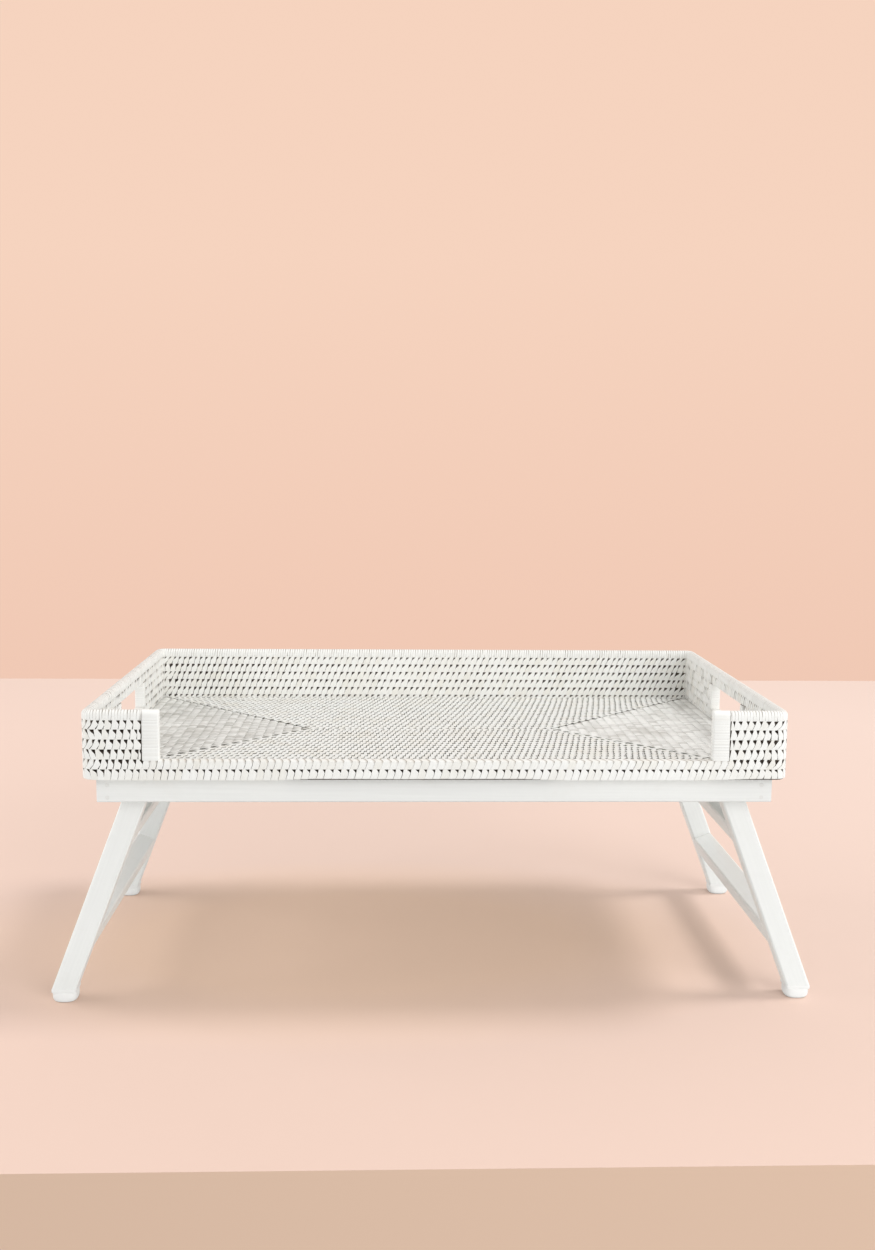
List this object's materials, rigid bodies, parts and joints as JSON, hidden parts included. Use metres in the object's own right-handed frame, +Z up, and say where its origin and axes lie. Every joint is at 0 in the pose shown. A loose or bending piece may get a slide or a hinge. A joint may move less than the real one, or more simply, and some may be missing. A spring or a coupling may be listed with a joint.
{
  "type": "breakfast tray",
  "caption": "Bed tray of white cane-wrapped rattan rods with a low front and handle slots, on a painted wooden frame with folding leg frames.",
  "frame": {"origin": "on the surface the feet stand on, below the middle of the tray", "axes": "+X along the tray, +Y to its closed back wall, +Z up"},
  "size_m": [0.6818, 0.365, 0.2706],
  "materials": {
    "cane": "white-washed cane wrapping on rattan rods, matt",
    "painted_wood": "white satin paint on square timber",
    "steel": "zinc-plated",
    "white_plastic": "moulded, matt white",
    "beech": "raw beech dowel"
  },
  "bodies": {
    "tray": {"wall_rod_1": "cane", "wall_rod_2": "cane", "wall_rod_3": "cane", "wall_rod_4": "cane", "wall_rod_5": "cane", "wall_rod_6": "cane", "rim": "cane", "left_post": "cane", "right_post": "cane", "left_front_slot_end": "cane", "left_rear_slot_end": "cane", "right_front_slot_end": "cane", "right_rear_slot_end": "cane", "floor_mat": "cane", "front_rail": "painted_wood", "rear_rail": "painted_wood", "left_end_rail": "painted_wood", "right_end_rail": "painted_wood", "frame_nails": "steel", "tray_screws": "steel", "left_pivot_screws": "steel", "right_pivot_screws": "steel", "left_washers": "white_plastic", "right_washers": "white_plastic"},
    "left_legs": {"left_front_leg": "painted_wood", "left_rear_leg": "painted_wood", "left_crossbar": "painted_wood", "left_stretcher": "painted_wood", "left_dowels": "beech", "left_front_foot": "white_plastic", "left_rear_foot": "white_plastic"},
    "right_legs": {"right_front_leg": "painted_wood", "right_rear_leg": "painted_wood", "right_crossbar": "painted_wood", "right_stretcher": "painted_wood", "right_dowels": "beech", "right_front_foot": "white_plastic", "right_rear_foot": "white_plastic"}
  },
  "joints": [
    {"name": "left_leg_fold", "type": "hinge", "parent": "tray", "child": "left_legs", "pos_m": [-0.25958, 0, 0.197], "axis": [0, -1, 0], "range_deg": [0, 110]},
    {"name": "right_leg_fold", "type": "hinge", "parent": "tray", "child": "right_legs", "pos_m": [0.25958, 0, 0.197], "axis": [0, 1, 0], "range_deg": [0, 110]}
  ]
}
